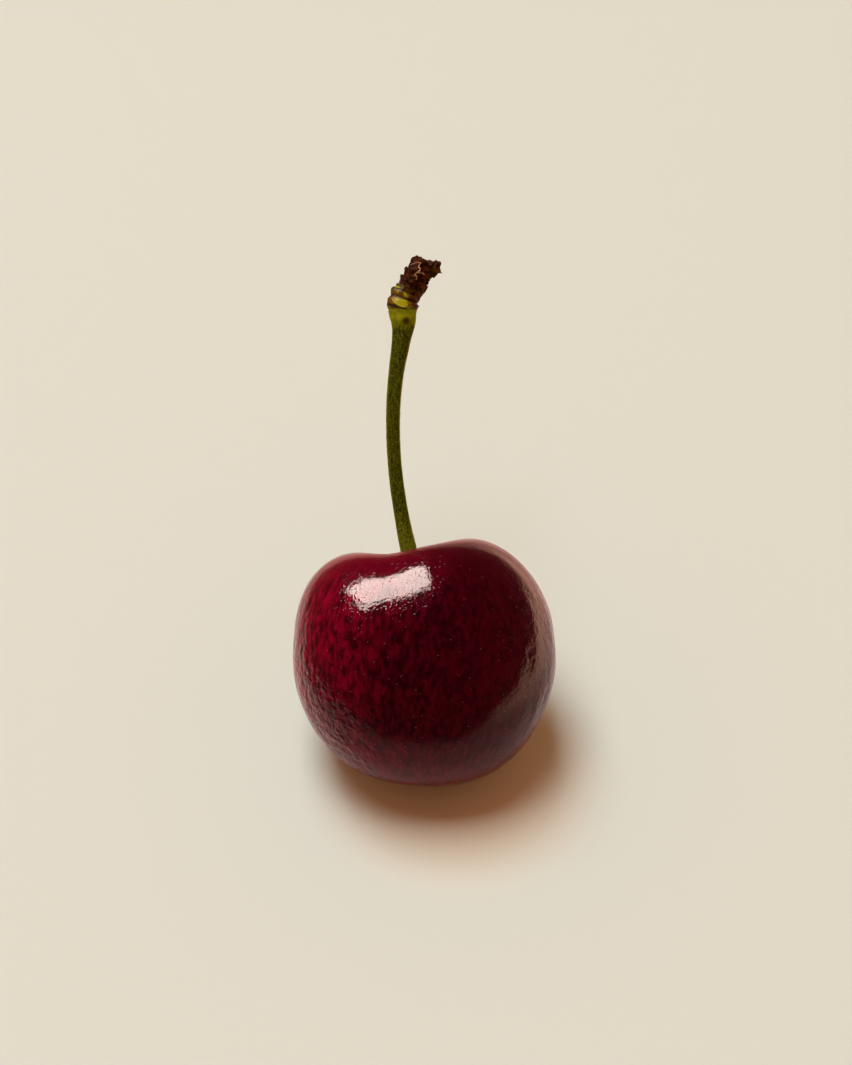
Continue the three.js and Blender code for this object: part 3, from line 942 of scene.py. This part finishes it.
def fibre_material():
    """Pale, matt torn wood, darker in its grain."""
    s = Shader("torn_fibre")
    point = s.own_frame()
    grain = s.noise(point, 5.0, 2.0, 0.6)
    colour = s.mix(s.band(grain, 0.35, 0.65), (0.2, 0.07, 0.02, 1), (0.72, 0.4, 0.18, 1))
    normal = s.bump(grain, FIBRE_GRAIN_HEIGHT)
    return s.finish(Base_Color=colour, Roughness=0.7, Specular_IOR_Level=0.1, Normal=normal)


# ---------------------------------------------------------------- stage


def look_from(target, elevation, distance):
    """A camera's or lamp's place and turn: level with X, looking down at the target."""
    back = Vector((0, -math.cos(elevation), math.sin(elevation)))
    turn = (-back).to_track_quat("-Z", "Y")
    return Matrix.Translation(target + back * distance) @ turn.to_matrix().to_4x4()


def add_camera(settings):
    """The camera, level with X. It looks just above and to the right of the fruit's middle."""
    camera = bpy.data.cameras.new("camera")
    camera.sensor_width = SENSOR_SIZE
    camera.lens = camera.sensor_width * settings.distance / settings.view_height
    seat = bpy.data.objects.new("camera", camera)
    bpy.context.scene.collection.objects.link(seat)
    up = Vector((0, math.sin(settings.elevation), math.cos(settings.elevation)))
    target = FRUIT_CENTRE + up * AIM_ABOVE + Vector((AIM_RIGHT, 0, 0))
    seat.matrix_world = look_from(target, settings.elevation, settings.distance)
    camera.clip_start = 0.01
    camera.clip_end = 10
    bpy.context.scene.camera = seat


def floor_material(settings):
    """Matt paper, with a patch of painted warm light under and just ahead of the fruit. Glossy rays see
    a painted reflection instead: a floor colour that is warmer to the right and redder behind, fades to
    black ahead, to the sides and partly behind, and glows warm to the right.
    """
    s = Shader("floor_paper")
    place = s.add("TexCoord").outputs["Object"]
    xyz = s.parts(place)
    # Painted reflection: the colour that glossy rays see fades to black ahead, to the sides and partly
    # behind.
    ahead = s.band(xyz["Y"], -0.062, -0.031, 1.0, 0.0)
    left = s.band(xyz["X"], -0.06, -0.046, 1.0, 0.0)
    right = s.band(xyz["X"], 0.1, 0.5, 0.0, 1.0)
    behind = s.band(xyz["Y"], 0.05, 0.25, 0.0, 0.5)
    edge = s.math("MAXIMUM", s.math("MAXIMUM", ahead, behind), s.math("MAXIMUM", left, right))
    glossy = s.add("LightPath").outputs["Is Glossy Ray"]
    # The painted reflection is warmer to the right and redder behind.
    warmth = s.band(xyz["X"], 0.02, 0.08)
    shine = s.mix(warmth, (0.76, 0.71, 0.68, 1), (1, 0.68, 0.45, 1))
    shine = s.mix(s.band(xyz["Y"], 0.015, 0.06), shine, (0.95, 0.52, 0.46, 1))
    shine = s.mix(edge, shine, (0, 0, 0, 1))
    # Painted light: a warm patch under and just ahead of the fruit, for light off its skin; it also
    # warms the shadow there.
    beside_fruit = s.vector_math("DISTANCE", place, (0.0035, -0.005, 0))
    glow = s.band(beside_fruit, 0.006, 0.018, 1.0, 0.0)
    matt = s.mix(glow, tuple(settings.floor), tuple(settings.floor_painted_warm_light))
    colour = s.mix(glossy, matt, shine)
    # Painted reflection glow: to the right, the floor gives off warm light that only glossy rays see.
    painted_reflection_glow = s.math("MULTIPLY", s.band(xyz["X"], 0.03, 0.06), s.math("SUBTRACT", 1.0, edge))
    return s.finish(
        Base_Color=colour,
        Roughness=0.9,
        Specular_IOR_Level=0.0,
        Emission_Color=(1, 0.6, 0.39, 1),
        Emission_Strength=s.math("MULTIPLY", s.math("MULTIPLY", glossy, painted_reflection_glow), 1.9),
    )


def add_floor(settings):
    mesh = bpy.data.meshes.new("floor")
    level = FRUIT_LOW.z
    signs = ((-1, -1), (1, -1), (1, 1), (-1, 1))
    corners = [(x * FLOOR_HALF, y * FLOOR_HALF, level) for x, y in signs]
    mesh.from_pydata(corners, [], [(0, 1, 2, 3)])
    mesh.materials.append(floor_material(settings))
    floor = bpy.data.objects.new("floor", mesh)
    bpy.context.scene.collection.objects.link(floor)


def add_softbox(name, towards, turn, half_size, distance, radiance, colour, shines):
    """A rectangular lamp that faces the fruit. It gives the shine if shines is true, else the light."""
    lamp = bpy.data.lights.new(name, "AREA")
    lamp.shape = "RECTANGLE"
    lamp.size = 2 * distance * half_size[0]
    lamp.size_y = 2 * distance * half_size[1]
    lamp.energy = radiance * math.pi * lamp.size * lamp.size_y
    lamp.color = colour
    seat = bpy.data.objects.new(name, lamp)
    bpy.context.scene.collection.objects.link(seat)
    seat.visible_glossy = shines
    seat.visible_diffuse = not shines
    facing = Vector(towards).normalized()
    side = (Vector((1, 0, 0)) - facing * facing.x).normalized()
    axes = Matrix((side, facing.cross(side), facing)).transposed().to_4x4()
    place = Matrix.Translation(FRUIT_CENTRE + facing * distance)
    seat.matrix_world = place @ axes @ Matrix.Rotation(turn, 4, "Z")


def add_world():
    """Weak warm light from all round, which glossy surfaces don't mirror."""
    world = bpy.data.worlds.new("studio")
    world.use_nodes = True
    nodes, links = world.node_tree.nodes, world.node_tree.links
    nodes.clear()
    path = nodes.new("ShaderNodeLightPath")
    soft = nodes.new("ShaderNodeBackground")
    soft.inputs["Color"].default_value = (1, 0.53, 0.27, 1)
    soft.inputs["Strength"].default_value = 0.36
    dim = nodes.new("ShaderNodeBackground")
    dim.inputs["Strength"].default_value = 0.0
    choose = nodes.new("ShaderNodeMixShader")
    out = nodes.new("ShaderNodeOutputWorld")
    links.new(path.outputs["Is Glossy Ray"], choose.inputs[0])
    links.new(soft.outputs[0], choose.inputs[1])
    links.new(dim.outputs[0], choose.inputs[2])
    links.new(choose.outputs[0], out.inputs["Surface"])
    bpy.context.scene.world = world


# ---------------------------------------------------------------- operators


class CHERRY_OT_fruit(bpy.types.Operator):
    """Builds the fruit with its streaked, glossy skin."""

    bl_idname = "cherry.fruit"
    bl_label = "Fruit"

    def execute(self, context):
        material = skin_material(context.scene.cherry_skin)
        new_piece("fruit_skin", fruit_mesh(), "fruit", material)
        return {"FINISHED"}


class CHERRY_OT_stem(bpy.types.Operator):
    """Builds the ribbed green stem with its collar."""

    bl_idname = "cherry.stem"
    bl_label = "Stem"

    def execute(self, context):
        material = stem_material(context.scene.cherry_stem)
        new_piece("ribbed_stem", stem_mesh(), "stem", material)
        return {"FINISHED"}


class CHERRY_OT_spur_stub(bpy.types.Operator):
    """Builds the ringed stub at the stem's top."""

    bl_idname = "cherry.spur_stub"
    bl_label = "Spur stub"

    def execute(self, context):
        new_piece("ringed_stub", stub_mesh(), "spur_stub", stub_material())
        return {"FINISHED"}


class CHERRY_OT_dried_scales(bpy.types.Operator):
    """Builds the dried bud scales and the torn flap."""

    bl_idname = "cherry.dried_scales"
    bl_label = "Dried scales"

    def execute(self, context):
        material = scale_material()
        for name, *shape in SCALES:
            new_piece("dried_" + name, scale_mesh(name, *shape), name, material)
        new_piece("dried_flap", flap_mesh(), "torn_flap", material)
        return {"FINISHED"}


class CHERRY_OT_torn_fibres(bpy.types.Operator):
    """Builds the pale fibres where the bark is torn, and the wisp at the flap's corner."""

    bl_idname = "cherry.torn_fibres"
    bl_label = "Torn fibres"

    def execute(self, context):
        material = fibre_material()
        bark = [piece.data for piece in bpy.data.objects if piece.name.startswith("dried_")]
        for index, (places, half_thickness) in enumerate(FIBRES):
            name = f"torn_fibre_{index + 1}"
            line = laid_on(smooth_line(places, FIBRE_STEPS), bark)
            new_piece(name, fibre_mesh(name, line, half_thickness), None, material)
        wisp = fibre_mesh("torn_wisp", smooth_line(WISP, FIBRE_STEPS), WISP_HALF_THICKNESS)
        new_piece("torn_wisp", wisp, None, material)
        return {"FINISHED"}


class CHERRY_OT_stage(bpy.types.Operator):
    """Sets the floor, with its painted warm light and painted reflection, the soft light and the camera.
    """

    bl_idname = "cherry.stage"
    bl_label = "Stage"

    def execute(self, context):
        settings = context.scene.cherry_stage
        add_floor(settings)
        add_camera(settings)
        add_world()
        for softbox in SOFTBOXES:
            add_softbox(*softbox)
        context.scene.view_settings.view_transform = "Standard"
        return {"FINISHED"}


class CHERRY_PT_panel(bpy.types.Panel):
    """Lists the cherry's pieces and settings."""

    bl_idname = "CHERRY_PT_panel"
    bl_label = "Cherry"
    bl_space_type = "VIEW_3D"
    bl_region_type = "UI"
    bl_category = "Cherry"

    def draw(self, context):
        layout = self.layout
        for operator in OPERATORS:
            layout.operator(operator.bl_idname)
        for name, group in SETTINGS:
            box = layout.box()
            for key in group.__annotations__:
                box.prop(getattr(context.scene, name), key)


SETTINGS = (
    ("cherry_skin", CherrySkinSettings),
    ("cherry_stem", CherryStemSettings),
    ("cherry_stage", CherryStageSettings),
)
OPERATORS = (
    CHERRY_OT_fruit,
    CHERRY_OT_stem,
    CHERRY_OT_spur_stub,
    CHERRY_OT_dried_scales,
    CHERRY_OT_torn_fibres,
    CHERRY_OT_stage,
)


def register():
    for name, group in SETTINGS:
        bpy.utils.register_class(group)
        setattr(bpy.types.Scene, name, bpy.props.PointerProperty(type=group))
    for operator in OPERATORS:
        bpy.utils.register_class(operator)
    bpy.utils.register_class(CHERRY_PT_panel)


def unregister():
    bpy.utils.unregister_class(CHERRY_PT_panel)
    for operator in reversed(OPERATORS):
        bpy.utils.unregister_class(operator)
    for name, group in reversed(SETTINGS):
        delattr(bpy.types.Scene, name)
        bpy.utils.unregister_class(group)


def main():
    register()
    bpy.ops.cherry.fruit()
    bpy.ops.cherry.stem()
    bpy.ops.cherry.spur_stub()
    bpy.ops.cherry.dried_scales()
    bpy.ops.cherry.torn_fibres()
    bpy.ops.cherry.stage()


if __name__ == "__main__":
    main()
